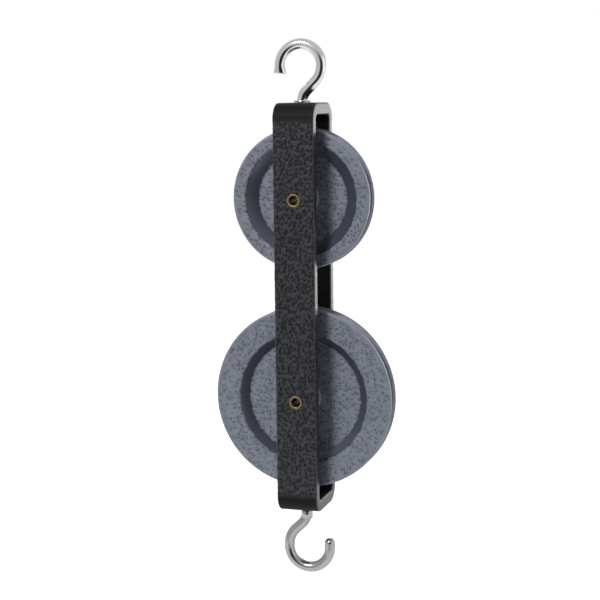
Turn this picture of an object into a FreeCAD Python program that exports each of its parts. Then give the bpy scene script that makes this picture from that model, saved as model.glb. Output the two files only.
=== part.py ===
import FreeCAD, Part
import math
import os
import Sketcher

# Tandem pulley block for a classroom pulley demonstrator. A bent strap frame holds a small sheave over a
# large one, each on a hollow brass axle, with a swivel hook through each end of the frame. Millimetres,
# +Z up, Y along the axles. The origin is where the crown of the top hook bears on what the block hangs from.

DRIVING_DIMENSIONS = {
    # How far the middle of the frame hangs below the origin
    "hang_height": 70.0,
    # Frame: one flat strap bent into a closed rectangle
    "strap_width": 11.3,
    "strap_thickness": 3.15,
    "strap_edge_radius": 0.35,
    "strap_bend_radius": 1.5,
    "frame_length": 111.6,
    "frame_depth": 19.25,
    # Axle centres, measured from the middle of the frame
    "upper_axle_height": 30.0,
    "lower_axle_height": -24.75,
    # Sheaves
    "rim_width": 6.0,
    "rim_edge_radius": 0.5,
    "groove_mouth": 4.3,
    "groove_root_radius": 1.1,
    "small_sheave_radius": 19.25,
    "small_groove_depth": 3.6,
    "small_web_radius": 12.4,
    "small_rim_inner": 15.8,
    "large_sheave_radius": 25.0,
    "large_groove_depth": 4.2,
    "large_web_radius": 15.8,
    "large_rim_inner": 18.3,
    "web_fall": 2.2,
    "hub_radius": 4.4,
    "hub_chamfer": 0.3,
    "hub_play": 0.15,
    # Brass bush in each hub, and the hollow axle that it runs on
    "bush_radius": 2.6,
    "bush_chamfer": 0.2,
    "running_gap": 0.05,
    "axle_radius": 1.6,
    "axle_bore_radius": 1.2,
    "flare_radius": 1.8,
    "flare_mouth_radius": 1.4,
    "flare_depth": 0.4,
    "flare_stand": 0.15,
    "flare_lip": 0.1,
    # Spacer washers between the strap and the hubs
    "spacer_radius": 4.2,
    "spacer_thickness": 0.8,
    "spacer_chamfer": 0.15,
    # Hooks: bent wire whose shank turns in the web of the frame
    "wire_radius": 1.48,
    "shank_gap": 0.06,
    "hook_play": 0.1,
    "hook_washer_radius": 3.2,
    "hook_washer_thickness": 0.6,
    "head_radius": 2.5,
    "head_height": 1.3,
    "head_flat_radius": 1.25,
    "head_brow_height": 0.6,
    "top_collar_radius": 2.3,
    "top_collar_height": 0.55,
    "top_neck_radius": 3.7,
    "top_lean": 43.3,
    "top_throat_radius": 2.6,
    "top_throat_height": 8.3,
    "top_reach": 5.4,
    "top_crown_radius": 5.8,
    "top_crown_height": 9.88,
    "top_tip_height": 7.8,
    "top_tip_rounding": 0.25,
    "bottom_collar_radius": 1.6,
    "bottom_collar_height": 3.6,
    "bottom_neck_radius": 4.5,
    "bottom_lean": 47.5,
    "bottom_throat_radius": 6.35,
    "bottom_throat_height": 11.55,
    "bottom_reach": 5.2,
    "bottom_crown_radius": 5.88,
    "bottom_crown_height": 11.88,
    "bottom_tip_height": 9.1,
    "bottom_tip_rounding": 1.2,
}


class Size(float):
    """A length that also carries the sheet formula it comes from, so that a sketch can be bound to it."""

    def __new__(cls, number, formula):
        size = float.__new__(cls, number)
        size.formula = formula
        return size

    def _with(self, other, sign, number):
        text = other.formula if isinstance(other, Size) else repr(float(other))
        return Size(number, f"({self.formula} {sign} {text})")

    def __add__(self, other):
        return self._with(other, "+", float(self) + float(other))

    def __sub__(self, other):
        return self._with(other, "-", float(self) - float(other))

    def __mul__(self, other):
        return self._with(other, "*", float(self) * float(other))

    def __truediv__(self, other):
        return self._with(other, "/", float(self) / float(other))

    def __neg__(self):
        return self * -1


doc = FreeCAD.newDocument("tandem_pulley_block")
sheet = doc.addObject("Spreadsheet::Sheet", "Sizes")
for row, (alias, number) in enumerate(DRIVING_DIMENSIONS.items(), start=1):
    sheet.set(f"A{row}", alias.replace("_", " "))
    sheet.set(f"B{row}", str(number))
    sheet.setAlias(f"B{row}", alias)
doc.recompute()


def size(alias):
    return Size(float(sheet.get(alias)), f"Sizes.{alias}")


# Sketching and feature helpers


def add_body(name, height, turn=0.0):
    """A sub-part whose own origin stands at that height above the middle of the frame."""
    body = doc.addObject("PartDesign::Body", name)
    body.Label = name
    body.Placement = FreeCAD.Placement(
        FreeCAD.Vector(0, 0, 0), FreeCAD.Rotation(FreeCAD.Vector(0, 1, 0), turn)
    )
    body.setExpression("Placement.Base.z", (height - size("hang_height")).formula)
    return body


def add_sketch(body, name, plane, lift=None):
    sketch = body.newObject("Sketcher::SketchObject", name)
    faces = {feature.Role: feature for feature in body.Origin.OriginFeatures}
    sketch.AttachmentSupport = [(faces[plane], "")]
    sketch.MapMode = "FlatFace"
    if lift is not None:
        sketch.setExpression("AttachmentOffset.Base.z", lift.formula)
    return sketch


def bind(sketch, kind, *references, to):
    index = sketch.addConstraint(Sketcher.Constraint(kind, *references, float(to)))
    sketch.setExpression(f"Constraints[{index}]", to.formula)


def vertex_at(sketch, edge, point):
    """Which end of an edge lies at a point: 1 for its start, 2 for its end."""
    geometry = sketch.Geometry[edge]
    nearer_start = (geometry.StartPoint - point).Length < (geometry.EndPoint - point).Length
    return 1 if nearer_start else 2


def join(sketch, first, second, point, kind="Coincident"):
    ends = (first, vertex_at(sketch, first, point), second, vertex_at(sketch, second, point))
    sketch.addConstraint(Sketcher.Constraint(kind, *ends))


def pin(sketch, edge, point, x, y):
    """Holds an edge's end at (x, y) from the sketch's origin."""
    end = vertex_at(sketch, edge, point)
    for value, kind, axis in ((x, "DistanceX", -2), (y, "DistanceY", -1)):
        if value == 0:
            sketch.addConstraint(Sketcher.Constraint("PointOnObject", edge, end, axis))
        else:
            bind(sketch, kind, -1, 1, edge, end, to=value)


def arc_between(start, end, radius):
    """The short arc from start to end. A positive radius bulges to the right of the way along."""
    chord = end - start
    middle = (start + end) * 0.5
    right = FreeCAD.Vector(chord.y, -chord.x, 0).normalize()
    sagitta = abs(radius) - math.sqrt(radius * radius - chord.Length ** 2 / 4)
    if radius < 0:
        return Part.Arc(end, middle - right * sagitta, start)
    return Part.Arc(start, middle + right * sagitta, end)


def add_outline(sketch, corners):
    """A closed outline. Each corner is (x, y) or (x, y, radius of the arc that leaves it)."""
    first = sketch.GeometryCount
    points = [FreeCAD.Vector(float(corner[0]), float(corner[1]), 0) for corner in corners]
    for number, corner in enumerate(corners):
        start, end = points[number], points[(number + 1) % len(points)]
        if len(corner) == 3:
            edge = sketch.addGeometry(arc_between(start, end, float(corner[2])))
            straightened = corner[2] if corner[2] > 0 else -corner[2]
            bind(sketch, "Radius", edge, to=straightened)
        else:
            sketch.addGeometry(Part.LineSegment(start, end))
    for number, corner in enumerate(corners):
        before = first + (number - 1) % len(corners)
        join(sketch, before, first + number, points[number])
        pin(sketch, first + number, points[number], corner[0], corner[1])


def add_circle(sketch, radius, y=0):
    """A circle whose centre stands on the sketch's own Y axis."""
    centre = FreeCAD.Vector(0, float(y), 0)
    circle = sketch.addGeometry(Part.Circle(centre, FreeCAD.Vector(0, 0, 1), float(radius)))
    bind(sketch, "Radius", circle, to=radius)
    sketch.addConstraint(Sketcher.Constraint("PointOnObject", circle, 3, -2))
    if y == 0:
        sketch.addConstraint(Sketcher.Constraint("PointOnObject", circle, 3, -1))
    else:
        bind(sketch, "DistanceY", -1, 1, circle, 3, to=y)


def revolve(body, name, plane, corners, kind="PartDesign::Revolution"):
    sketch = add_sketch(body, name + "_section", plane)
    add_outline(sketch, corners)
    feature = body.newObject(kind, name)
    feature.Profile = sketch
    feature.ReferenceAxis = (sketch, ["V_Axis"])
    feature.Angle = 360
    doc.recompute()
    return feature


def both_sides(section):
    """A section given for +y, from inside to outside, with its mirror image run back below it."""
    mirrored = []
    for number in range(len(section) - 1, -1, -1):
        x, y = section[number][:2]
        arc = section[number - 1][2:] if number else ()
        mirrored.append((x, -y, *arc))
    return section + mirrored


# Frame strap: steel strip bent round at four corners, its ends butt-welded inside the top web


frame_middle = Size(0, "0")
half_length = size("frame_length") / 2
half_depth = size("frame_depth") / 2
half_width = size("strap_width") / 2
thickness = size("strap_thickness")
upper_axle = size("upper_axle_height")
lower_axle = size("lower_axle_height")


def rounded_rectangle(half_x, half_y, radius):
    return [
        (half_x, -(half_y - radius)),
        (half_x, half_y - radius, radius),
        (half_x - radius, half_y),
        (-(half_x - radius), half_y, radius),
        (-half_x, half_y - radius),
        (-half_x, -(half_y - radius), radius),
        (-(half_x - radius), -half_y),
        (half_x - radius, -half_y, radius),
    ]


def cut_through(body, name, plane, circles):
    sketch = add_sketch(body, name + "_centres", plane)
    for radius, y in circles:
        add_circle(sketch, radius, y=y)
    pocket = body.newObject("PartDesign::Pocket", name)
    pocket.Profile = sketch
    pocket.Type = "ThroughAll"
    pocket.SideType = "Symmetric"
    doc.recompute()
    return pocket


def make_frame_strap():
    body = add_body("frame_strap", frame_middle)
    sketch = add_sketch(body, "strap_line", "YZ_Plane")
    inner_radius = size("strap_bend_radius")
    add_outline(sketch, rounded_rectangle(half_depth, half_length, inner_radius + thickness))
    inside = rounded_rectangle(half_depth - thickness, half_length - thickness, inner_radius)
    add_outline(sketch, inside)
    pad = body.newObject("PartDesign::Pad", "strap")
    pad.Profile = sketch
    pad.SideType = "Symmetric"
    pad.setExpression("Length", "Sizes.strap_width")
    doc.recompute()

    rounded = body.newObject("PartDesign::Fillet", "rolled_edges")
    rounded.Base = (pad, side_edges(pad.Shape))
    rounded.setExpression("Radius", "Sizes.strap_edge_radius")
    doc.recompute()

    axle_hole = size("axle_radius") + size("running_gap")
    cut_through(body, "axle_holes", "XZ_Plane", [(axle_hole, upper_axle), (axle_hole, lower_axle)])
    shank_hole = size("wire_radius") + size("shank_gap")
    cut_through(body, "shank_holes", "XY_Plane", [(shank_hole, frame_middle)])
    for name, height in (("upper", upper_axle), ("lower", lower_axle)):
        for side in (-1, 1):
            countersink(body, f"{name}_seat_{'front' if side < 0 else 'rear'}", height, side, axle_hole)
    return body


def side_edges(shape):
    """The strap's long edges: those that lie in the plane of one of its two cut sides."""
    names = []
    for number, edge in enumerate(shape.Edges, start=1):
        box = edge.BoundBox
        if box.XLength < 0.01 and abs(abs(box.XMax) - half_width) < 0.01:
            names.append(f"Edge{number}")
    return names


def countersink(body, name, height, side, hole_radius):
    """The shallow seat in the strap's outer face that an axle's flared end is rolled into."""
    sketch = add_sketch(body, name + "_section", "YZ_Plane")
    face = half_depth * side
    below = (half_depth - size("flare_depth")) * side
    clear = (half_depth + size("flare_stand")) * side
    wide = size("flare_radius") + size("running_gap")
    corners = [
        (below, height),
        (below, height + hole_radius),
        (face, height + wide),
        (clear, height + wide),
        (clear, height),
    ]
    add_outline(sketch, corners)
    groove = body.newObject("PartDesign::Groove", name)
    groove.Profile = sketch
    groove.ReferenceAxis = (sketch, ["Edge5"])
    groove.Angle = 360
    doc.recompute()


# Sheaves: cast wheels with a round-bottomed cord groove, a rim that slopes down to a sunk web, and a hub


inner_face = half_depth - thickness
hub_face = inner_face - size("spacer_thickness") - size("hub_play")


def groove_corner(radius, depth):
    """Where the straight wall of the groove meets its round root, as (radius, half width)."""
    root = size("groove_root_radius")
    mouth = size("groove_mouth") / 2
    centre = radius - depth + root
    rise = float(radius - centre)
    angle = math.atan2(mouth, rise) + math.acos(root / math.hypot(rise, mouth))
    return centre + root * math.cos(angle), root * math.sin(angle)


def make_sheave(name, height, which):
    radius = size(which + "_sheave_radius")
    depth = size(which + "_groove_depth")
    half_rim = size("rim_width") / 2
    web_face = half_rim - size("web_fall")
    edge = size("rim_edge_radius")
    chamfer = size("hub_chamfer")
    hub = size("hub_radius")
    section = [
        (size("bush_radius"), hub_face),
        (hub - chamfer, hub_face),
        (hub, hub_face - chamfer),
        (hub, web_face),
        (size(which + "_web_radius"), web_face),
        (size(which + "_rim_inner"), half_rim),
        (radius - edge, half_rim, -edge),
        (radius, half_rim - edge),
        (radius, size("groove_mouth") / 2),
        groove_corner(radius, depth),
    ]
    corners = both_sides(section)
    crossing = len(section) - 1
    corners[crossing] = (*corners[crossing], size("groove_root_radius"))
    body = add_body(name, height)
    revolve(body, "casting", "XY_Plane", corners)
    return body


def make_bush(name, height):
    outer = size("bush_radius")
    bore = size("axle_radius") + size("running_gap")
    chamfer = size("bush_chamfer")
    section = [(bore, hub_face - chamfer), (bore + chamfer, hub_face), (outer, hub_face)]
    body = add_body(name, height)
    revolve(body, "bush", "XY_Plane", both_sides(section))
    return body


def make_axle(name, height):
    end = half_depth + size("flare_stand")
    lip = size("flare_lip")
    section = [
        (size("axle_bore_radius"), end - size("flare_depth") - lip),
        (size("flare_mouth_radius"), end),
        (size("flare_radius") - lip, end),
        (size("flare_radius"), end - lip),
        (size("axle_radius"), end - size("flare_depth")),
    ]
    body = add_body(name, height)
    revolve(body, "tube", "XY_Plane", both_sides(section))
    return body


def make_spacer(name, height, side):
    bore = size("axle_radius") + size("running_gap")
    outer = size("spacer_radius")
    chamfer = size("spacer_chamfer")
    wall = inner_face * side
    free = (inner_face - size("spacer_thickness")) * side
    corners = [
        (bore, wall),
        (outer - chamfer, wall),
        (outer, (inner_face - chamfer) * side),
        (outer, (inner_face - size("spacer_thickness") + chamfer) * side),
        (outer - chamfer, free),
        (bore, free),
    ]
    body = add_body(name, height)
    revolve(body, "spacer", "XY_Plane", corners)
    return body


# Hooks: plated wire bent round a former. The shank runs through the web, and its end is peened over a
# washer inside the frame, so that the hook swivels. Each is drawn upright on the web's outer face.


def add_hook_line(body, which, start):
    """The wire's centre line in the plane of the hook: neck bend, throat, crown and tip, all tangent."""
    sketch = add_sketch(body, "wire_line", "XZ_Plane")
    lean = size(which + "_lean")
    neck = size(which + "_neck_radius")
    throat = size(which + "_throat_radius")
    throat_height = size(which + "_throat_height")
    reach = size(which + "_reach")
    crown = size(which + "_crown_radius")
    crown_height = size(which + "_crown_height")
    tip_height = size(which + "_tip_height")

    angle = math.radians(lean)
    throat_start = FreeCAD.Vector(
        reach - throat + throat * math.cos(angle), throat_height - throat * math.sin(angle), 0
    )
    crossing = throat_start.y - throat_start.x / math.tan(angle)
    neck_start = FreeCAD.Vector(0, crossing - neck * math.tan(angle / 2), 0)
    neck_end = neck_start + FreeCAD.Vector(neck * (1 - math.cos(angle)), neck * math.sin(angle), 0)
    throat_end = FreeCAD.Vector(reach, throat_height, 0)
    crown_start = FreeCAD.Vector(reach, crown_height, 0)
    crown_end = FreeCAD.Vector(reach - crown * 2, crown_height, 0)
    tip = FreeCAD.Vector(crown_end.x, tip_height, 0)
    foot = FreeCAD.Vector(0, start, 0)
    crown_top = FreeCAD.Vector(reach - crown, crown_height + crown, 0)

    points = [foot, neck_start, neck_end, throat_start, throat_end, crown_start, crown_end, tip]
    sketch.addGeometry(Part.LineSegment(foot, neck_start))
    sketch.addGeometry(arc_between(neck_start, neck_end, -float(neck)))
    sketch.addGeometry(Part.LineSegment(neck_end, throat_start))
    sketch.addGeometry(arc_between(throat_start, throat_end, float(throat)))
    sketch.addGeometry(Part.LineSegment(throat_end, crown_start))
    sketch.addGeometry(Part.Arc(crown_start, crown_top, crown_end))
    sketch.addGeometry(Part.LineSegment(crown_end, tip))
    for edge in range(6):
        join(sketch, edge, edge + 1, points[edge + 1], "Tangent")
    for edge in (0, 4):
        sketch.addConstraint(Sketcher.Constraint("Vertical", edge))
    pin(sketch, 0, foot, 0, start)
    bind(sketch, "Radius", 1, to=neck)
    bind(sketch, "Radius", 3, to=throat)
    bind(sketch, "Radius", 5, to=crown)
    pin(sketch, 4, throat_end, reach, throat_height)
    bind(sketch, "DistanceY", -1, 1, 4, vertex_at(sketch, 4, crown_start), to=crown_height)
    bind(sketch, "DistanceX", -1, 1, 6, vertex_at(sketch, 6, tip), to=reach - crown * 2)
    bind(sketch, "DistanceY", -1, 1, 6, vertex_at(sketch, 6, tip), to=tip_height)
    index = sketch.addConstraint(Sketcher.Constraint("Angle", 2, math.pi / 2 - angle))
    sketch.setExpression(f"Constraints[{index}]", f"(90 - {lean.formula}) * 1 deg")
    return sketch


def make_hook(name, which, height, turn):
    body = add_body(name, height, turn)
    under_washer = -(thickness + size("hook_washer_thickness") + size("hook_play"))
    head = size("head_height")
    wire = size("wire_radius")
    line = add_hook_line(body, which, under_washer)
    ring = add_sketch(body, "wire_section", "XY_Plane", lift=under_washer)
    add_circle(ring, wire)
    doc.recompute()
    pipe = body.newObject("PartDesign::AdditivePipe", "wire")
    pipe.Profile = ring
    pipe.Spine = line
    doc.recompute()

    tip_edge = farthest_end(pipe.Shape, size(which + "_tip_height"))
    tip = body.newObject("PartDesign::Fillet", "tip")
    tip.Base = (pipe, [tip_edge])
    tip.setExpression("Radius", size(which + "_tip_rounding").formula)
    doc.recompute()

    brow = size("head_radius")
    head_corners = [
        (0, under_washer),
        (0, under_washer - head),
        (size("head_flat_radius"), under_washer - head),
        (brow, under_washer - size("head_brow_height")),
        (brow, under_washer),
    ]
    revolve(body, "peened_head", "XZ_Plane", head_corners)
    play = size("hook_play")
    collar = size(which + "_collar_radius")
    collar_top = play + size(which + "_collar_height")
    collar_corners = [(0, play), (collar, play), (collar, collar_top), (0, collar_top)]
    revolve(body, "collar", "XZ_Plane", collar_corners)
    return body


def farthest_end(shape, tip_height):
    """The circular edge round the cut end of the wire."""
    for number, edge in enumerate(shape.Edges, start=1):
        box = edge.BoundBox
        if box.ZLength < 0.01 and abs(box.ZMax - tip_height) < 0.01:
            return f"Edge{number}"
    raise ValueError("the wire has no cut end at its tip")


def make_hook_washer(name, height, turn):
    body = add_body(name, height, turn)
    sketch = add_sketch(body, "washer_section", "XY_Plane", lift=-thickness)
    add_circle(sketch, size("hook_washer_radius"))
    add_circle(sketch, size("wire_radius") + size("shank_gap"))
    pad = body.newObject("PartDesign::Pad", "washer")
    pad.Profile = sketch
    pad.Reversed = True
    pad.setExpression("Length", "Sizes.hook_washer_thickness")
    doc.recompute()
    return body


# The assembly, from the frame outwards


bodies = [make_frame_strap()]
for which, height in (("small", upper_axle), ("large", lower_axle)):
    bodies.append(make_axle(f"{which}_axle", height))
    bodies.append(make_sheave(f"{which}_sheave", height, which))
    bodies.append(make_bush(f"{which}_sheave_bush", height))
    bodies.append(make_spacer(f"{which}_front_spacer", height, -1))
    bodies.append(make_spacer(f"{which}_rear_spacer", height, 1))
for which, height, turn in (("top", half_length, 0), ("bottom", -half_length, 180)):
    bodies.append(make_hook(f"{which}_hook", which, height, turn))
    bodies.append(make_hook_washer(f"{which}_hook_washer", height, turn))
doc.recompute()

failed = [item.Name for item in doc.Objects if {"Invalid", "Error"} & set(item.State)]
failed += [body.Label for body in bodies if body.Shape.isNull() or not body.Shape.isValid()]
if failed:
    raise RuntimeError(f"these objects did not compute: {failed}")

os.makedirs("parts", exist_ok=True)
for body in bodies:
    body.Shape.exportStep(os.path.join("parts", body.Label + ".step"))
    print(f"{body.Label}: {body.Shape.Volume:.1f} mm3, {len(body.Shape.Solids)} solid")
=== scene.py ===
import math

import bmesh
import bpy
import numpy as np
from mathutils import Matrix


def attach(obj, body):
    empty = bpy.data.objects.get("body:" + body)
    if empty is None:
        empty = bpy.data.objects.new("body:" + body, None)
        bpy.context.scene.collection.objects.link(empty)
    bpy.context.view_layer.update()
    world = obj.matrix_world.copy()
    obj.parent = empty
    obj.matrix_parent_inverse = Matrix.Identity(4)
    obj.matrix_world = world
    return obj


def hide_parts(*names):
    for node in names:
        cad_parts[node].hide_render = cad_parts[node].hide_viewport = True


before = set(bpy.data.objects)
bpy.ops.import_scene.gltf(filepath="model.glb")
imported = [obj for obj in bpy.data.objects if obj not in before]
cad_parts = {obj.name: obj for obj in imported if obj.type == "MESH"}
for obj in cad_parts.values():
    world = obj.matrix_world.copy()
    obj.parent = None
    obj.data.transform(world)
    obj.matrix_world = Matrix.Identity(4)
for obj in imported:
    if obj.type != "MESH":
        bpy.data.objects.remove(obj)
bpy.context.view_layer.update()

# Frame strap. Flat mild-steel bar, bent round at four corners, its ends butt-welded inside the top web, with
# holes drilled for the two axles and the two hook shanks. Its black hammertone powder coat draws up into
# small upright dimples on the flats and runs smooth round the bends.

MM = 0.001
STRAP_WIDTH = 11.3
STRAP_THICKNESS = 3.15
STRAP_EDGE_RADIUS = 0.35
STRAP_BEND_RADIUS = 1.5
FRAME_LENGTH = 111.6
FRAME_DEPTH = 19.25
HANG_HEIGHT = 70.0
AXLE_HEIGHTS = {"small": -40.0, "large": -94.75}
AXLE_HOLE_RADIUS = 1.65
SEAT_RADIUS = 1.85
SEAT_DEPTH = 0.4
SHANK_HOLE_RADIUS = 1.54
DRILL_OVERRUN = 1.0
TURNED_SIDES = 64
FACE_MESH_STEP = 0.22
SIDE_MESH_STEP = 0.6
INSIDE_MESH_STEP = 1.2
COAT_CELL = 0.76
COAT_CELL_STRETCH = 1.45
COAT_PIT_DEPTH = 0.15
COAT_PIT_RADIUS = 0.85
COAT_SEED = 3.0
COAT_CLOUD = 5.0
COAT_GRAIN = 0.3
COAT_GRAIN_DEPTH = 0.05
COAT_ROUGHNESS = {"bends": 0.6, "flats": 0.36, "sides": 0.4}
COAT_SHINE = {"bends": 0.12, "flats": 0.27, "sides": 0.36}
DARK_FROM_DEPTH = 0.8
SMALLEST_PIT = 0.6
WANDER_SCALE = 0.9
WANDER_REACH = 0.9
SMOOTH_INTO_BEND = 0.6
SMOOTH_PAST_BEND = 1.2
PITTING_BESIDE_FACES = 0.35
FACE_FADE = (0.5, 0.05)
SIDE_FADE = (0.45, 0.1)


def arc(centre_x, centre_y, radius, start, end, step):
    """Points along an arc, from one angle to another in degrees, without its last point."""
    count = max(2, round(abs(math.radians(end - start)) * radius / step))
    angles = np.radians(np.linspace(start, end, count, endpoint=False))
    return np.stack([centre_x + radius * np.cos(angles), centre_y + radius * np.sin(angles)], axis=1)


def run(start, end, step):
    """Points along a straight run, without its last point."""
    start, end = np.array(start, float), np.array(end, float)
    count = max(1, round(np.linalg.norm(end - start) / step))
    return start + (end - start) * np.linspace(0, 1, count, endpoint=False)[:, None]


def rounded_rectangle(half_x, half_y, radius, steps, corner_step):
    """The points of a closed rounded rectangle, counter-clockwise from the foot of its upper right corner.

    steps are those of its top, left, bottom and right runs.
    """
    points = []
    corners = [(half_x, half_y, 0), (-half_x, half_y, 90), (-half_x, -half_y, 180), (half_x, -half_y, 270)]
    for (corner_x, corner_y, angle), step in zip(corners, steps):
        centre_x = corner_x - math.copysign(radius, corner_x)
        centre_y = corner_y - math.copysign(radius, corner_y)
        points.append(arc(centre_x, centre_y, radius, angle, angle + 90, corner_step))
        leaving = math.radians(angle + 90)
        end = np.array([centre_x + radius * math.cos(leaving), centre_y + radius * math.sin(leaving)])
        along = np.array([-math.sin(leaving), math.cos(leaving)])
        length = 2 * (half_x if angle % 180 == 0 else half_y) - 2 * radius
        points.append(run(end, end + along * length, step))
    return np.concatenate(points)


def link_mesh(name, points, faces):
    """A new piece from points in millimetres and faces between them, all turned outwards."""
    mesh = bpy.data.meshes.new(name)
    mesh.from_pydata((points.reshape(-1, 3) * MM).tolist(), [], faces)
    piece = bpy.data.objects.new(name, mesh)
    bpy.context.scene.collection.objects.link(piece)
    shell = bmesh.new()
    shell.from_mesh(mesh)
    bmesh.ops.recalc_face_normals(shell, faces=shell.faces)
    shell.to_mesh(mesh)
    shell.free()
    return piece


def closed_ring(name, points):
    """A smooth piece from rows of points, each row and each column of them closed on itself."""
    rows, columns = points.shape[:2]
    row, column = np.meshgrid(np.arange(rows), np.arange(columns), indexing="ij")
    next_row, next_column = (row + 1) % rows, (column + 1) % columns
    corners = [
        row * columns + column, row * columns + next_column,
        next_row * columns + next_column, next_row * columns + column,
    ]
    piece = link_mesh(name, points, np.stack([corner.ravel() for corner in corners], axis=1).tolist())
    piece.data.shade_smooth()
    return piece


def closed_tube(name, rings):
    """A piece from rings of points, with a face across each end."""
    count, sides = rings.shape[:2]
    faces = [list(range(sides))[::-1], list(range((count - 1) * sides, count * sides))]
    for ring in range(count - 1):
        here, above = ring * sides, (ring + 1) * sides
        for side in range(sides):
            after = (side + 1) % sides
            faces.append([here + side, here + after, above + after, above + side])
    return link_mesh(name, rings, faces)


def turned_rings(outline, axis, sides=TURNED_SIDES):
    """A ring of points round the Y or Z axis for each (radius, distance along the axis) of an outline."""
    outline = np.array(outline, float)
    angles = np.linspace(0, 2 * math.pi, sides, endpoint=False)
    rings = np.zeros((len(outline), sides, 3))
    along, across = {"Y": (1, 2), "Z": (2, 1)}[axis]
    rings[:, :, 0] = outline[:, None, 0] * np.cos(angles)
    rings[:, :, across] = outline[:, None, 0] * np.sin(angles)
    rings[:, :, along] = outline[:, None, 1]
    return rings


def add_node(tree, kind, inputs=(), **settings):
    """Adds a node, sets its properties, and gives its inputs values or links from other nodes' outputs."""
    node = tree.nodes.new(kind)
    for name, setting in settings.items():
        setattr(node, name, setting)
    for name, value in dict(inputs).items():
        if isinstance(value, bpy.types.NodeSocket):
            tree.links.new(value, node.inputs[name])
        else:
            node.inputs[name].default_value = value
    return node


def hammertone_tree():
    """Sinks small pits into a surface, one to a cell of a flat XZ pattern, as deep as its coat allows."""
    tree = bpy.data.node_groups.new("hammertone_relief", "GeometryNodeTree")
    inputs = [
        ("Geometry", "NodeSocketGeometry", None),
        ("Cell Size", "NodeSocketFloat", COAT_CELL * MM),
        ("Stretch", "NodeSocketFloat", 1.0),
        ("Pit Depth", "NodeSocketFloat", COAT_PIT_DEPTH * MM),
        ("Pit Radius", "NodeSocketFloat", COAT_PIT_RADIUS),
        ("Pitted Share", "NodeSocketFloat", 1.0),
        ("Seed", "NodeSocketFloat", COAT_SEED),
        ("Paint", "NodeSocketMaterial", None),
    ]
    for name, kind, value in inputs:
        socket = tree.interface.new_socket(name, in_out="INPUT", socket_type=kind)
        if value is not None:
            socket.default_value = value
    tree.interface.new_socket("Geometry", in_out="OUTPUT", socket_type="NodeSocketGeometry")
    given = add_node(tree, "NodeGroupInput").outputs
    place = add_node(tree, "GeometryNodeInputPosition").outputs[0]
    place = add_node(tree, "ShaderNodeSeparateXYZ", {0: place}).outputs
    tall = add_node(
        tree, "ShaderNodeMath", {0: place["Z"], 1: given["Stretch"]}, operation="DIVIDE"
    ).outputs[0]
    flat = add_node(tree, "ShaderNodeCombineXYZ", {"X": place["X"], "Y": tall}).outputs[0]
    scaled = add_node(tree, "ShaderNodeMath", {0: 1.0, 1: given["Cell Size"]}, operation="DIVIDE").outputs[0]
    in_cells = add_node(
        tree, "ShaderNodeVectorMath", {0: flat, "Scale": scaled}, operation="SCALE"
    ).outputs[0]
    in_cells = add_node(
        tree, "ShaderNodeVectorMath", {0: in_cells, 1: given["Seed"]}, operation="ADD"
    ).outputs[0]
    wander = add_node(
        tree, "ShaderNodeTexNoise", {"Vector": in_cells, "Scale": WANDER_SCALE, "Detail": 1.0},
        noise_dimensions="2D",
    ).outputs["Color"]
    wander = add_node(
        tree, "ShaderNodeVectorMath", {0: wander, "Scale": WANDER_REACH}, operation="SCALE"
    ).outputs[0]
    in_cells = add_node(tree, "ShaderNodeVectorMath", {0: in_cells, 1: wander}, operation="ADD").outputs[0]
    cell = add_node(
        tree, "ShaderNodeTexVoronoi", {"Vector": in_cells, "Scale": 1.0}, voronoi_dimensions="2D"
    ).outputs
    chance = add_node(tree, "ShaderNodeSeparateXYZ", {0: cell["Color"]}).outputs
    reach = add_node(
        tree, "ShaderNodeMapRange", {"Value": chance["Y"], "To Min": SMALLEST_PIT, "To Max": 1.0}
    ).outputs[0]
    reach = add_node(
        tree, "ShaderNodeMath", {0: reach, 1: given["Pit Radius"]}, operation="MULTIPLY"
    ).outputs[0]
    bowl = add_node(
        tree, "ShaderNodeMapRange",
        {"Value": cell["Distance"], "From Max": reach, "To Min": 1.0, "To Max": 0.0},
        interpolation_type="SMOOTHSTEP",
    ).outputs[0]
    pitted = add_node(
        tree, "ShaderNodeMath", {0: chance["X"], 1: given["Pitted Share"]}, operation="LESS_THAN"
    ).outputs[0]
    kept = add_node(tree, "ShaderNodeMath", {0: bowl, 1: pitted}, operation="MULTIPLY").outputs[0]
    coat = add_node(tree, "GeometryNodeInputNamedAttribute", {"Name": "coat"}, data_type="FLOAT").outputs[0]
    pit = add_node(tree, "ShaderNodeMath", {0: kept, 1: coat}, operation="MULTIPLY").outputs[0]
    depth = add_node(tree, "ShaderNodeMath", {0: pit, 1: given["Pit Depth"]}, operation="MULTIPLY").outputs[0]
    inward = add_node(tree, "ShaderNodeMath", {0: depth, 1: -1.0}, operation="MULTIPLY").outputs[0]
    normal = add_node(tree, "GeometryNodeInputNormal").outputs[0]
    sink = add_node(tree, "ShaderNodeVectorMath", {0: normal, "Scale": inward}, operation="SCALE").outputs[0]
    marked = add_node(
        tree, "GeometryNodeStoreNamedAttribute", {"Geometry": given["Geometry"], "Name": "pit", "Value": pit},
        data_type="FLOAT", domain="POINT",
    ).outputs[0]
    sunk = add_node(tree, "GeometryNodeSetPosition", {"Geometry": marked, "Offset": sink}).outputs[0]
    real = add_node(tree, "GeometryNodeRealizeInstances", {"Geometry": sunk}).outputs[0]
    painted = add_node(
        tree, "GeometryNodeSetMaterial", {"Geometry": real, "Material": given["Paint"]}
    ).outputs[0]
    add_node(tree, "NodeGroupOutput", {"Geometry": painted})
    return tree


def run_tree(piece, tree, **values):
    """Runs a geometry tree on a piece with those named inputs, and keeps the result as its plain mesh."""
    modifier = piece.modifiers.new(tree.name, "NODES")
    modifier.node_group = tree
    names = {item.name: item.identifier for item in tree.interface.items_tree if item.in_out == "INPUT"}
    for name, value in values.items():
        modifier[names[name.replace("_", " ")]] = value
    bake(piece)


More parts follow.
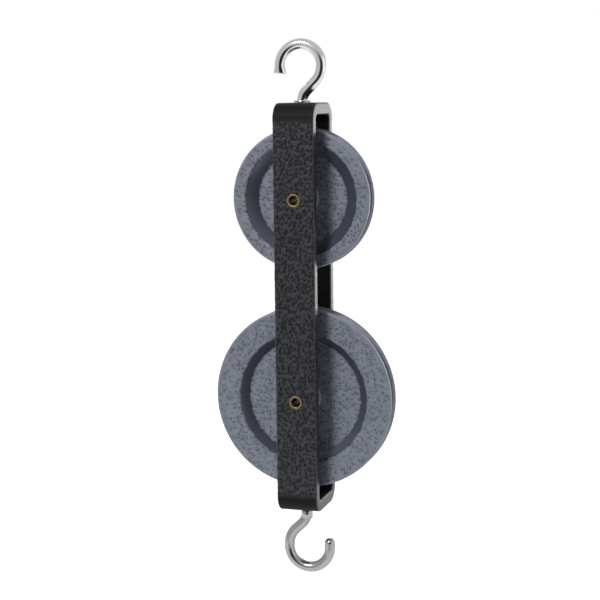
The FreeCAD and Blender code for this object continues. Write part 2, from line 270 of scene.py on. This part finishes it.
def bake(piece):
    """Makes what a piece's modifiers show its own mesh, and removes them."""
    graph = bpy.context.evaluated_depsgraph_get()
    shown = bpy.data.meshes.new_from_object(piece.evaluated_get(graph))
    piece.modifiers.clear()
    piece.data = shown
    shown.name = piece.name


def drill(piece, height, axis, profile):
    """Cuts a turned hole, given as an outline, through a piece at that height."""
    rings = turned_rings(profile, axis)
    rings[:, :, 2] += height
    cutter = closed_tube("drill", rings)
    cut = piece.modifiers.new("hole", "BOOLEAN")
    cut.operation = "DIFFERENCE"
    cut.solver = "MANIFOLD"
    cut.object = cutter
    bake(piece)
    bpy.data.objects.remove(cutter)


def coordinates(piece):
    """A piece's points in millimetres."""
    values = np.zeros(len(piece.data.vertices) * 3, np.float32)
    piece.data.vertices.foreach_get("co", values)
    return values.reshape(-1, 3) / MM


def store(piece, name, values):
    """Keeps one number for each point of the piece under a name that its tree and paint read."""
    attribute = piece.data.attributes.new(name, "FLOAT", "POINT")
    attribute.data.foreach_set("value", np.asarray(values, np.float32))


def ramp(values, start, end):
    """0 before start and 1 after end, smooth between."""
    share = np.clip((values - start) / (end - start), 0, 1)
    return share * share * (3 - 2 * share)


def linear(colour):
    """An sRGB hex colour as linear red, green, blue and alpha."""
    parts = [int(colour[place:place + 2], 16) / 255 for place in (1, 3, 5)]
    return (*[part / 12.92 if part <= 0.04045 else ((part + 0.055) / 1.055) ** 2.4 for part in parts], 1.0)


half_depth = FRAME_DEPTH / 2
half_length = FRAME_LENGTH / 2
outer_bend = STRAP_BEND_RADIUS + STRAP_THICKNESS
loop_steps = (SIDE_MESH_STEP, FACE_MESH_STEP, SIDE_MESH_STEP, FACE_MESH_STEP)
loop = rounded_rectangle(half_depth, half_length, outer_bend, loop_steps, SIDE_MESH_STEP)
ahead = np.roll(loop, -1, axis=0) - np.roll(loop, 1, axis=0)
outward = np.stack([ahead[:, 1], -ahead[:, 0]], axis=1)
outward /= np.linalg.norm(outward, axis=1)[:, None]
section_steps = (FACE_MESH_STEP, SIDE_MESH_STEP, INSIDE_MESH_STEP, SIDE_MESH_STEP)
section = rounded_rectangle(
    STRAP_WIDTH / 2, STRAP_THICKNESS / 2, STRAP_EDGE_RADIUS, section_steps, FACE_MESH_STEP
)
strap_points = np.zeros((len(loop), len(section), 3))
strap_points[:, :, 0] = section[None, :, 0]
below_face = section[None, :, 1] - STRAP_THICKNESS / 2
strap_points[:, :, 1] = loop[:, None, 0] + outward[:, None, 0] * below_face
strap_points[:, :, 2] = loop[:, None, 1] + outward[:, None, 1] * below_face - HANG_HEIGHT
strap = closed_ring("frame_strap_coated", strap_points)
seat_floor, clear_of_strap = half_depth - SEAT_DEPTH, half_depth + DRILL_OVERRUN
for height in AXLE_HEIGHTS.values():
    hole = [(SEAT_RADIUS, -clear_of_strap), (SEAT_RADIUS, -half_depth), (AXLE_HOLE_RADIUS, -seat_floor)]
    hole += [(radius, -along) for radius, along in reversed(hole)]
    drill(strap, height, "Y", hole)
through_web = STRAP_THICKNESS + DRILL_OVERRUN
for height in (half_length, -half_length):
    hole = [(SHANK_HOLE_RADIUS, -through_web), (SHANK_HOLE_RADIUS, through_web)]
    drill(strap, height - HANG_HEIGHT, "Z", hole)

place = coordinates(strap)
from_end = half_length - np.abs(place[:, 2] + HANG_HEIGHT)
flats = ramp(from_end, outer_bend - SMOOTH_INTO_BEND, outer_bend + SMOOTH_PAST_BEND)
on_face = ramp(np.abs(place[:, 1]), half_depth - FACE_FADE[0], half_depth - FACE_FADE[1])
store(strap, "coat", flats * (PITTING_BESIDE_FACES + (1 - PITTING_BESIDE_FACES) * on_face))
side_starts, side_full = (STRAP_WIDTH / 2 - fade for fade in SIDE_FADE)
store(strap, "side", ramp(np.abs(place[:, 0]), side_starts, side_full))

# Powder coat, baked hammertone black: dark grey ridges round nearly black pits with a soft sheen, matt black
# on the bends, and a paler gleam along the bar's sides. Its fine grain is drawn coarser, so that it shows.
black_coat = bpy.data.materials.new("black_hammertone_powder_coat")
black_coat.use_nodes = True
tree = black_coat.node_tree
shader = tree.nodes["Principled BSDF"]
where = add_node(tree, "ShaderNodeTexCoord").outputs["Object"]
pit, coat, side = (
    add_node(tree, "ShaderNodeAttribute", attribute_name=name).outputs["Fac"]
    for name in ("pit", "coat", "side")
)
cloud = add_node(
    tree, "ShaderNodeTexNoise", {"Vector": where, "Scale": 1 / (COAT_CLOUD * MM), "Detail": 3.0}
).outputs["Fac"]
ridge = add_node(
    tree, "ShaderNodeMix", {0: cloud, 6: linear("#393a3e"), 7: linear("#424347")}, data_type="RGBA"
).outputs[2]
depth = add_node(tree, "ShaderNodeMapRange", {"Value": pit, "From Max": DARK_FROM_DEPTH}).outputs[0]
colour = add_node(
    tree, "ShaderNodeMix", {0: depth, 6: ridge, 7: linear("#0d0d0f")}, data_type="RGBA"
).outputs[2]
colour = add_node(
    tree, "ShaderNodeMix", {0: coat, 6: linear("#0f1011"), 7: colour}, data_type="RGBA"
).outputs[2]
for values, socket in ((COAT_ROUGHNESS, "Roughness"), (COAT_SHINE, "Specular IOR Level")):
    level = add_node(
        tree, "ShaderNodeMapRange", {"Value": coat, "To Min": values["bends"], "To Max": values["flats"]}
    ).outputs[0]
    level = add_node(
        tree, "ShaderNodeMapRange", {"Value": side, "To Min": level, "To Max": values["sides"]}
    ).outputs[0]
    tree.links.new(level, shader.inputs[socket])
grain = add_node(
    tree, "ShaderNodeTexNoise", {"Vector": where, "Scale": 1 / (COAT_GRAIN * MM), "Detail": 2.0}
).outputs["Fac"]
skin = add_node(
    tree, "ShaderNodeBump", {"Height": grain, "Strength": 0.15, "Distance": COAT_GRAIN_DEPTH * MM}
).outputs[0]
tree.links.new(colour, shader.inputs["Base Color"])
tree.links.new(skin, shader.inputs["Normal"])

hammertone = hammertone_tree()
run_tree(
    strap, hammertone,
    Cell_Size=COAT_CELL * MM, Stretch=COAT_CELL_STRETCH, Pit_Depth=COAT_PIT_DEPTH * MM,
    Pit_Radius=COAT_PIT_RADIUS, Seed=COAT_SEED, Paint=black_coat,
)
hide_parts("frame_strap")
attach(strap, "frame")

# Axles. Brass tube cut to length and pushed through the strap; each end is rolled outwards into its seat, so
# that the strap holds it still and a ring of brass shows round its open bore.

AXLE_RADIUS = 1.6
AXLE_BORE_RADIUS = 1.2
AXLE_SIDES = 96
TUBE_STATIONS = (2.0, 6.0)
FLARE_RADIUS = 1.8
FLARE_MOUTH_RADIUS = 1.42
FLARE_DEPTH = 0.4
FLARE_STAND = 0.15
FLARE_ROLL = 0.14
FLARE_THROAT = (0.06, 0.2)
FLARE_LIP = (0.1, 0.06)
FLARE_CROWN_OFFSET = 0.04
FLARE_INNER_TURN = (120, 90)
FLARE_OUTER_TURN = (90, -20)
FLARE_MESH_STEP = 0.05


def turned(name, outline, sides, height):
    """A closed outline of (radius, distance along Y) points, turned about an axle at that height."""
    points = turned_rings(outline, "Y", sides).transpose(1, 0, 2)
    points[:, :, 2] += height
    return closed_ring(name, points)


def mirrored(half):
    """A half outline for +Y, run on through its mirror image for -Y."""
    half = np.array(half, float)
    return np.concatenate([half, half[::-1] * (1, -1)])


def cloudy_metal(name, shades, patch, detail, roughness):
    """Bare or plated metal, its tone and its haze varied together in soft patches of that size."""
    material = bpy.data.materials.new(name)
    material.use_nodes = True
    tree = material.node_tree
    shader = tree.nodes["Principled BSDF"]
    where = add_node(tree, "ShaderNodeTexCoord").outputs["Object"]
    cloud = add_node(
        tree, "ShaderNodeTexNoise", {"Vector": where, "Scale": 1 / (patch * MM), "Detail": detail}
    ).outputs["Fac"]
    colour = add_node(
        tree, "ShaderNodeMix", {0: cloud, 6: linear(shades[0]), 7: linear(shades[1])}, data_type="RGBA"
    ).outputs[2]
    haze = add_node(
        tree, "ShaderNodeMapRange", {"Value": cloud, "To Min": roughness[0], "To Max": roughness[1]}
    ).outputs[0]
    tree.links.new(colour, shader.inputs["Base Color"])
    tree.links.new(haze, shader.inputs["Roughness"])
    shader.inputs["Metallic"].default_value = 1.0
    return material


# Drawn brass, rolled over at its ends and since tarnished: a dull yellow-brown ring with only a soft gleam.
brass = cloudy_metal(
    "drawn_brass_tube", ("#75674a", "#8c7f60"), patch=1.2, detail=3.0, roughness=(0.4, 0.55)
)

axle_end = half_depth + FLARE_STAND
flare_centre = axle_end - FLARE_ROLL
inner_station, outer_station = TUBE_STATIONS
for which, height in AXLE_HEIGHTS.items():
    half = [(AXLE_BORE_RADIUS, inner_station), (AXLE_BORE_RADIUS, outer_station)]
    half.append((AXLE_BORE_RADIUS, axle_end - FLARE_DEPTH - FLARE_ROLL))
    half.append((AXLE_BORE_RADIUS + FLARE_THROAT[0], axle_end - FLARE_THROAT[1]))
    half.append((FLARE_MOUTH_RADIUS - FLARE_LIP[0], axle_end - FLARE_LIP[1]))
    crown_x = FLARE_MOUTH_RADIUS + FLARE_CROWN_OFFSET
    rolled_x = FLARE_RADIUS - FLARE_ROLL
    half += arc(crown_x, flare_centre, FLARE_ROLL, *FLARE_INNER_TURN, FLARE_MESH_STEP).tolist()
    half += arc(rolled_x, flare_centre, FLARE_ROLL, *FLARE_OUTER_TURN, FLARE_MESH_STEP).tolist()
    half.append((AXLE_RADIUS, axle_end - FLARE_DEPTH))
    half += [(AXLE_RADIUS, outer_station), (AXLE_RADIUS, inner_station)]
    axle = turned(f"{which}_axle_tube", mirrored(half), AXLE_SIDES, height)
    axle.data.materials.append(brass)
    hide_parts(f"{which}_axle")
    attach(axle, "frame")

# Spacers and bushes. Plated steel washers slipped over the axle fill the play between strap and hub, and a
# turned brass bush pressed into each hub runs on the axle.

# Barrel-plated zinc on punched steel: an even mid grey that mirrors its surroundings only as a blur.
plated_washer = cloudy_metal(
    "zinc_plated_washer", ("#7d7f80", "#9a9b9a"), patch=1.5, detail=4.0, roughness=(0.3, 0.5)
)


def finish_node(name, material):
    """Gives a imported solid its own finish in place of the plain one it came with."""
    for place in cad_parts[name].material_slots:
        place.material = material


for which in AXLE_HEIGHTS:
    finish_node(f"{which}_sheave_bush", brass)
    for side in ("front", "rear"):
        finish_node(f"{which}_{side}_spacer", plated_washer)

# Sheaves. Two alloy castings, each a rim round a thin sunk web with a sloping wall between them, turned in
# the bore and the cord groove and sprayed with blue-grey hammertone lacquer. It pulls into scattered dark
# dimples on rim and web, and lies thin and smooth on the sloping wall, where painted shade darkens it.

RIM_HALF_WIDTH = 3.0
RIM_EDGE_RADIUS = 0.5
GROOVE_HALF_MOUTH = 2.15
GROOVE_ROOT_RADIUS = 1.1
HUB_RADIUS = 4.4
HUB_CHAMFER = 0.3
HUB_FACE = 5.525
BUSH_RADIUS = 2.6
WEB_FACE = 0.8
SHEAVES = {
    "small": {
        "radius": 19.25, "groove": 3.6, "wall": (12.4, 15.8), "sides": 380, "seed": 5.0,
        "body": "upper_wheel",
    },
    "large": {
        "radius": 25.0, "groove": 4.2, "wall": (15.8, 18.3), "sides": 440, "seed": 11.0,
        "body": "lower_wheel",
    },
}
SHEAVE_MESH_STEP = 0.28
COARSE_STEPS = 3
LACQUER_CELL = 0.85
LACQUER_PIT_DEPTH = 0.09
LACQUER_PIT_RADIUS = 0.65
LACQUER_PITTED_SHARE = 0.7
LACQUER_BLOTCH = 2.2
LACQUER_BLOTCH_RANGE = (0.3, 0.7)
LACQUER_METALLIC = 0.25
LACQUER_ROUGHNESS = 0.4
LACQUER_THIN_ROUGHNESS = 0.24
LACQUER_GRAIN = 0.35
LACQUER_GRAIN_DEPTH = 0.04
RAGGED_WAVES = ((0.09, 23, 0), (0.07, 41, 1), (0.06, 67, 2))
WALL_OVERLAP = 0.05
WALL_FADE = 0.2
WEB_FADE = (0.4, 0.1)
HUB_FADE = (0.1, 0.8)
GROOVE_FADE = 0.3
GROOVE_LIP = (2.4, 2.8)
EDGE_FADE = (0.9, 0.5)


def sheave_half(radius, groove, wall, step):
    """Half of a sheave's section as (radius, distance along Y), from its bore round to the groove's root."""
    web_radius, rim_inner = wall
    centre = radius - groove + GROOVE_ROOT_RADIUS
    rise = radius - centre
    slope = math.acos(GROOVE_ROOT_RADIUS / math.hypot(rise, GROOVE_HALF_MOUTH))
    angle = math.atan2(GROOVE_HALF_MOUTH, rise) + slope
    foot = (centre + GROOVE_ROOT_RADIUS * math.cos(angle), GROOVE_ROOT_RADIUS * math.sin(angle))
    coarse = COARSE_STEPS * step
    edge = (radius - RIM_EDGE_RADIUS, RIM_HALF_WIDTH - RIM_EDGE_RADIUS)
    runs = [
        run((BUSH_RADIUS, HUB_FACE), (HUB_RADIUS - HUB_CHAMFER, HUB_FACE), coarse),
        run((HUB_RADIUS - HUB_CHAMFER, HUB_FACE), (HUB_RADIUS, HUB_FACE - HUB_CHAMFER), step),
        run((HUB_RADIUS, HUB_FACE - HUB_CHAMFER), (HUB_RADIUS, WEB_FACE), coarse),
        run((HUB_RADIUS, WEB_FACE), (web_radius, WEB_FACE), step),
        run((web_radius, WEB_FACE), (rim_inner, RIM_HALF_WIDTH), step),
        run((rim_inner, RIM_HALF_WIDTH), (edge[0], RIM_HALF_WIDTH), step),
        arc(*edge, RIM_EDGE_RADIUS, 90, 0, step / 2),
        run((radius, edge[1]), (radius, GROOVE_HALF_MOUTH), step),
        run((radius, GROOVE_HALF_MOUTH), foot, coarse),
        arc(centre, 0, GROOVE_ROOT_RADIUS, math.degrees(angle), 180, step),
    ]
    return np.concatenate(runs)


# Hammertone lacquer with aluminium flake in it, sprayed on a casting: satin blue-grey with a metallic body
# and darker pits, glossier where it lies thin on the sunk wall, which is coloured darker there as painted
# shade. Its fine grain is drawn coarser, so that it shows.
blue_lacquer = bpy.data.materials.new("blue_grey_hammertone_lacquer")
blue_lacquer.use_nodes = True
tree = blue_lacquer.node_tree
shader = tree.nodes["Principled BSDF"]
where = add_node(tree, "ShaderNodeTexCoord").outputs["Object"]
# Its masks: the pits, and the sunk wall's smooth thin coat, which also carries painted shade.
pit, thin_coat_and_shade = (
    add_node(tree, "ShaderNodeAttribute", attribute_name=name).outputs["Fac"]
    for name in ("pit", "thin_coat_and_shade")
)
cloud = add_node(
    tree, "ShaderNodeTexNoise", {"Vector": where, "Scale": 1 / (LACQUER_BLOTCH * MM), "Detail": 3.0}
).outputs["Fac"]
blotch_from, blotch_to = LACQUER_BLOTCH_RANGE
blotch = add_node(
    tree, "ShaderNodeMapRange", {"Value": cloud, "From Min": blotch_from, "From Max": blotch_to}
).outputs[0]
lit = add_node(
    tree, "ShaderNodeMix", {0: blotch, 6: linear("#7b818e"), 7: linear("#8a909c")}, data_type="RGBA"
).outputs[2]
dimpled = add_node(
    tree, "ShaderNodeMix", {0: pit, 6: lit, 7: linear("#424853")}, data_type="RGBA"
).outputs[2]
# Painted shade: the sunk sloping wall is coloured darker than the rest of the casting.
colour = add_node(
    tree, "ShaderNodeMix", {0: thin_coat_and_shade, 6: dimpled, 7: linear("#4d525d")}, data_type="RGBA"
).outputs[2]
gloss = add_node(
    tree, "ShaderNodeMapRange",
    {"Value": thin_coat_and_shade, "To Min": LACQUER_ROUGHNESS, "To Max": LACQUER_THIN_ROUGHNESS},
).outputs[0]
grain = add_node(
    tree, "ShaderNodeTexNoise", {"Vector": where, "Scale": 1 / (LACQUER_GRAIN * MM), "Detail": 2.0}
).outputs["Fac"]
skin = add_node(
    tree, "ShaderNodeBump", {"Height": grain, "Strength": 0.2, "Distance": LACQUER_GRAIN_DEPTH * MM}
).outputs[0]
tree.links.new(colour, shader.inputs["Base Color"])
tree.links.new(gloss, shader.inputs["Roughness"])
tree.links.new(skin, shader.inputs["Normal"])
shader.inputs["Metallic"].default_value = LACQUER_METALLIC

for which, sheave in SHEAVES.items():
    height = AXLE_HEIGHTS[which]
    half = sheave_half(sheave["radius"], sheave["groove"], sheave["wall"], SHEAVE_MESH_STEP)
    casting = turned(f"{which}_sheave_casting", mirrored(half), sheave["sides"], height)
    place = coordinates(casting)
    out = np.hypot(place[:, 0], place[:, 2] - height)
    level = np.abs(place[:, 1])
    about = np.arctan2(place[:, 2] - height, place[:, 0])
    ragged = sum(size * np.sin(count * about + turn) for size, count, turn in RAGGED_WAVES)
    web_radius, rim_inner = sheave["wall"]
    rim_radius = sheave["radius"]
    past_web = ramp(out + ragged, web_radius - WALL_OVERLAP, web_radius + WALL_FADE)
    on_wall = past_web * (1 - ramp(out - ragged, rim_inner - WALL_FADE, rim_inner + WALL_OVERLAP))
    on_side = ramp(level, WEB_FACE - WEB_FADE[0], WEB_FACE - WEB_FADE[1])
    on_wall = on_wall * on_side
    on_hub = 1 - ramp(out, HUB_RADIUS + HUB_FADE[0], HUB_RADIUS + HUB_FADE[1])
    in_groove = ramp(out, rim_radius - sheave["groove"] - GROOVE_FADE, rim_radius - GROOVE_FADE)
    in_groove = in_groove * (1 - ramp(level, *GROOVE_LIP))
    on_edge = ramp(out, rim_radius - EDGE_FADE[0], rim_radius - EDGE_FADE[1])
    store(casting, "coat", (1 - on_wall) * (1 - on_hub) * (1 - on_edge) * (1 - in_groove) * on_side)
    # The smooth thin coat on the sunk wall, whose colour the paint darkens there as painted shade.
    store(casting, "thin_coat_and_shade", on_wall)
    run_tree(
        casting, hammertone,
        Cell_Size=LACQUER_CELL * MM, Stretch=1.0, Pit_Depth=LACQUER_PIT_DEPTH * MM,
        Pit_Radius=LACQUER_PIT_RADIUS, Pitted_Share=LACQUER_PITTED_SHARE, Seed=sheave["seed"],
        Paint=blue_lacquer,
    )
    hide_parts(f"{which}_sheave")
    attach(casting, sheave["body"])

# Hooks. Steel wire bent cold round a former, nickel plated. The shank goes through the web and its end is
# peened over a washer inside the frame, so the hook swivels. The top hook is bright and its tip is sheared
# flat; the bottom hook has a satin plating, a longer collar and a tip ground round.

WIRE_RADIUS = 1.48
HOOK_PLAY = 0.1
HOOK_WASHER_THICKNESS = 0.6
HEAD_RADIUS = 2.5
HEAD_FLAT_RADIUS = 1.25
HEAD_HEIGHT = 1.3
HEAD_SHOULDER = (2.05, 1.05)
HEAD_BROW_HEIGHT = 0.6
COLLAR_LIP = 0.15
POLE_RADIUS = 0.02
SPREAD_LENGTH = 2.2
WIRE_MESH_STEP = 0.16
WIRE_SIDES = 56
END_RINGS = 4
# Each hook as if it stood upright on its web: bend radii with their heights above the web, the tip's height
# and its rounding, and the collar's radius and length.
HOOKS = {
    "top": {
        "neck": 4.0, "lean": 45.5, "throat": (5.8, 9.8), "reach": 5.4, "crown": (5.8, 9.88),
        "tip": (7.8, 0.25), "collar": (2.3, 0.55), "spread": 0.22, "web": half_length - HANG_HEIGHT,
        "turn": 1, "body": "hanging_hook",
    },
    "bottom": {
        "neck": 4.5, "lean": 47.5, "throat": (6.35, 11.55), "reach": 5.2, "crown": (5.88, 11.88),
        "tip": (9.1, 1.2), "collar": (1.6, 3.6), "spread": 0.0, "web": -half_length - HANG_HEIGHT,
        "turn": -1, "body": "load_hook",
    },
}


def wire_line(hook, foot, step):
    """The wire's centre line, foot to tip: shank, neck bend, throat, crown and tip, all tangent."""
    lean = math.radians(hook["lean"])
    throat, throat_height = hook["throat"]
    crown, crown_height = hook["crown"]
    reach = hook["reach"]
    neck = hook["neck"]
    throat_foot = (reach - throat + throat * math.cos(lean), throat_height - throat * math.sin(lean))
    crossing = throat_foot[1] - throat_foot[0] / math.tan(lean)
    neck_foot = (0, crossing - neck * math.tan(lean / 2))
    neck_end = (neck * (1 - math.cos(lean)), neck_foot[1] + neck * math.sin(lean))
    tip = (reach - 2 * crown, hook["tip"][0])
    runs = [
        run((0, foot), neck_foot, step),
        arc(neck, neck_foot[1], neck, 180, 180 - hook["lean"], step),
        run(neck_end, throat_foot, step),
        arc(reach - throat, throat_height, throat, -hook["lean"], 0, step),
        run((reach, throat_height), (reach, crown_height), step),
        arc(reach - crown, crown_height, crown, 0, 180, step),
        run((reach - 2 * crown, crown_height), tip, step),
        np.array([tip]),
    ]
    return np.concatenate(runs)


def drawn_wire(line, tip_rounding, spread):
    """Rings of a round wire along a line in the XZ plane, its tip rounded and spread."""
    ahead = np.gradient(line, axis=0)
    ahead /= np.linalg.norm(ahead, axis=1)[:, None]
    side = np.stack([ahead[:, 1], -ahead[:, 0]], axis=1)
    along = np.concatenate([[0], np.cumsum(np.linalg.norm(np.diff(line, axis=0), axis=1))])
    left = along[-1] - along
    into_tip = np.clip(1 - left / tip_rounding, 0, 1)
    radius = WIRE_RADIUS - tip_rounding * (1 - np.sqrt(1 - into_tip ** 2))
    widened = 1 + spread * ramp(-left, -SPREAD_LENGTH, 0)
    angles = np.linspace(0, 2 * math.pi, WIRE_SIDES, endpoint=False)
    across = np.cos(angles)[None, :] * (radius * widened)[:, None]
    rings = np.zeros((len(line), WIRE_SIDES, 3))
    rings[:, :, 0] = line[:, None, 0] + side[:, None, 0] * across
    rings[:, :, 1] = np.sin(angles)[None, :] * (radius / np.sqrt(widened))[:, None]
    rings[:, :, 2] = line[:, None, 1] + side[:, None, 1] * across
    ends = []
    for ring, shares in ((rings[0], range(1, END_RINGS)), (rings[-1], range(END_RINGS - 1, 0, -1))):
        middle = ring.mean(axis=0)
        ends.append(np.array([middle + (ring - middle) * share / END_RINGS for share in shares]))
    return np.concatenate([ends[0], rings, ends[1]])


# Nickel plating on drawn wire, bright on the top hook and satin on the bottom one: near-white metal that
# mirrors the tent in long soft bands, a little hazier in patches. The satin plating is greyer and duller.
platings = {
    "top": cloudy_metal(
        "bright_nickel_plated_wire", ("#b9bbbe", "#d4d4d8"), patch=1.8, detail=4.0, roughness=(0.14, 0.2)
    ),
    "bottom": cloudy_metal(
        "satin_nickel_plated_wire", ("#8f9091", "#a1a2a1"), patch=1.8, detail=4.0, roughness=(0.18, 0.24)
    ),
}
under_washer = -(STRAP_THICKNESS + HOOK_WASHER_THICKNESS + HOOK_PLAY)
for which, hook in HOOKS.items():
    line = wire_line(hook, under_washer, WIRE_MESH_STEP)
    parts = [closed_tube(f"{which}_wire", drawn_wire(line, hook["tip"][1], hook["spread"]))]
    head = [(POLE_RADIUS, under_washer - HEAD_HEIGHT), (HEAD_FLAT_RADIUS, under_washer - HEAD_HEIGHT)]
    head.append((HEAD_SHOULDER[0], under_washer - HEAD_SHOULDER[1]))
    head.append((HEAD_RADIUS, under_washer - HEAD_BROW_HEIGHT))
    head += [(HEAD_RADIUS, under_washer), (POLE_RADIUS, under_washer)]
    parts.append(closed_tube(f"{which}_head", turned_rings(head, "Z")))
    radius, tall = hook["collar"]
    collar_top = HOOK_PLAY + tall
    collar = [(POLE_RADIUS, HOOK_PLAY), (radius, HOOK_PLAY), (radius, collar_top - COLLAR_LIP)]
    collar += [(radius - COLLAR_LIP, collar_top), (POLE_RADIUS, collar_top)]
    parts.append(closed_tube(f"{which}_collar", turned_rings(collar, "Z")))
    for part in parts:
        part.data.shade_smooth()
    with bpy.context.temp_override(active_object=parts[0], selected_editable_objects=parts):
        bpy.ops.object.join()
    wire = parts[0]
    wire.name = wire.data.name = f"{which}_hook_wire"
    place = coordinates(wire)
    place[:, 0] *= hook["turn"]
    place[:, 2] = place[:, 2] * hook["turn"] + hook["web"]
    wire.data.vertices.foreach_set("co", (place * MM).ravel())
    wire.data.update()
    wire.data.materials.append(platings[which])
    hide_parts(f"{which}_hook")
    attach(wire, hook["body"])
    finish_node(f"{which}_hook_washer", plated_washer)

# Studio. The block hangs a few centimetres above a white floor, in a white tent that its plated parts mirror,
# with a soft lamp at the front left, weaker ones at the right and behind, and a dark room behind the camera.

FLOOR_HEIGHT = -0.205
FLOOR_FRONT = -0.22
FLOOR_REACH = 3.0
FLOOR_GLOW = 0.85
CAMERA_PLACE = (0.11827685, -0.39292831, -0.01205052)
CAMERA_TURN = (82.24493, 0.66432, 16.84251)
LENS = 90.48
SENSOR_WIDTH = 36.0
TENT_BACK = (-0.1, 0.99, 0.0)
TENT_BACK_SPREAD = 0.8
TENT_WHITE = 0.95
TENT_SIDE = 0.8
TENT_LIGHT = 0.11
ROOM_DOOR = (0.28, -0.94, -0.19)
ROOM_DOOR_EDGE = (0.81, 0.92)
DARK_ROOM = 0.02
WHITE = (1.0, 1.0, 1.0, 1.0)
BLOCK_MIDDLE = (0.0, 0.0, -0.07)
LAMPS = [
    ("key_lamp", (-0.28, -0.85, 0.62), 0.3, 8.4),
    ("side_lamp", (0.85, -0.15, 0.0), 0.9, 1.4),
    ("rim_lamp", (0.26, 0.85, -0.15), 0.6, 2.4),
]

floor_mesh = bpy.data.meshes.new("studio_floor")
floor_corners = [
    (across, along, FLOOR_HEIGHT)
    for across, along in (
        (-FLOOR_REACH, FLOOR_FRONT), (FLOOR_REACH, FLOOR_FRONT),
        (FLOOR_REACH, FLOOR_REACH), (-FLOOR_REACH, FLOOR_REACH),
    )
]
floor_mesh.from_pydata(floor_corners, [], [(0, 1, 2, 3)])
floor = bpy.data.objects.new("studio_floor", floor_mesh)
bpy.context.scene.collection.objects.link(floor)

# Matt white backdrop paper: it takes a soft shadow, and looks white to the camera and in the plated parts.
paper = bpy.data.materials.new("white_backdrop_paper")
paper.use_nodes = True
tree = paper.node_tree
shader = tree.nodes["Principled BSDF"]
ray = add_node(tree, "ShaderNodeLightPath").outputs
seen = add_node(
    tree, "ShaderNodeMath", {0: ray["Is Camera Ray"], 1: ray["Is Glossy Ray"]}, operation="MAXIMUM"
).outputs[0]
seen = add_node(
    tree, "ShaderNodeMath", {0: seen, 1: ray["Is Transmission Ray"]}, operation="MAXIMUM"
).outputs[0]
glow = add_node(tree, "ShaderNodeMath", {0: seen, 1: FLOOR_GLOW}, operation="MULTIPLY").outputs[0]
shader.inputs["Base Color"].default_value = linear("#f2f2f2")
shader.inputs["Roughness"].default_value = 0.9
shader.inputs["Emission Color"].default_value = WHITE
tree.links.new(glow, shader.inputs["Emission Strength"])
floor_mesh.materials.append(paper)

# The tent shows plain white to the camera, lights the block weakly, and is brightest behind it where the
# plated parts mirror it.
world = bpy.data.worlds.new("white_tent")
bpy.context.scene.world = world
world.use_nodes = True
tree = world.node_tree
tree.nodes.clear()
ray = add_node(tree, "ShaderNodeLightPath").outputs
towards = add_node(tree, "ShaderNodeTexCoord").outputs["Generated"]
away, facing = (
    add_node(tree, "ShaderNodeVectorMath", {0: towards, 1: way}, operation="DOT_PRODUCT").outputs["Value"]
    for way in (TENT_BACK, ROOM_DOOR)
)
behind = add_node(
    tree, "ShaderNodeMapRange",
    {"Value": away, "From Min": 0.0, "From Max": TENT_BACK_SPREAD, "To Min": TENT_SIDE, "To Max": TENT_WHITE},
    interpolation_type="SMOOTHSTEP",
).outputs[0]
door_starts, door_full = ROOM_DOOR_EDGE
mirrored_light = add_node(
    tree, "ShaderNodeMapRange",
    {"Value": facing, "From Min": door_starts, "From Max": door_full, "To Min": behind, "To Max": DARK_ROOM},
    interpolation_type="SMOOTHSTEP",
).outputs[0]
clear = add_node(
    tree, "ShaderNodeMath", {0: ray["Is Camera Ray"], 1: ray["Is Transmission Ray"]}, operation="MAXIMUM"
).outputs[0]
mirrored_or_lit = add_node(
    tree, "ShaderNodeMix", {0: ray["Is Glossy Ray"], 2: TENT_LIGHT, 3: mirrored_light}, data_type="FLOAT"
).outputs[0]
strength = add_node(
    tree, "ShaderNodeMix", {0: clear, 2: mirrored_or_lit, 3: 1.0}, data_type="FLOAT"
).outputs[0]
glow = add_node(tree, "ShaderNodeBackground", {"Color": WHITE, "Strength": strength}).outputs[0]
add_node(tree, "ShaderNodeOutputWorld", {"Surface": glow})

for name, place, size, watts in LAMPS:
    lamp = bpy.data.lights.new(name, "AREA")
    lamp.shape = "DISK"
    lamp.size = size
    lamp.energy = watts
    holder = bpy.data.objects.new(name, lamp)
    bpy.context.scene.collection.objects.link(holder)
    holder.location = place
    back_off = np.array(place) - np.array(BLOCK_MIDDLE)
    tilt = math.atan2(math.hypot(back_off[0], back_off[1]), back_off[2])
    holder.rotation_euler = (tilt, 0, math.atan2(back_off[1], back_off[0]) + math.pi / 2)

view = bpy.data.cameras.new("camera")
view.lens = LENS
view.sensor_width = SENSOR_WIDTH
camera = bpy.data.objects.new("camera", view)
bpy.context.scene.collection.objects.link(camera)
camera.location = CAMERA_PLACE
camera.rotation_euler = [math.radians(angle) for angle in CAMERA_TURN]
bpy.context.scene.camera = camera
bpy.context.scene.view_settings.view_transform = "Standard"
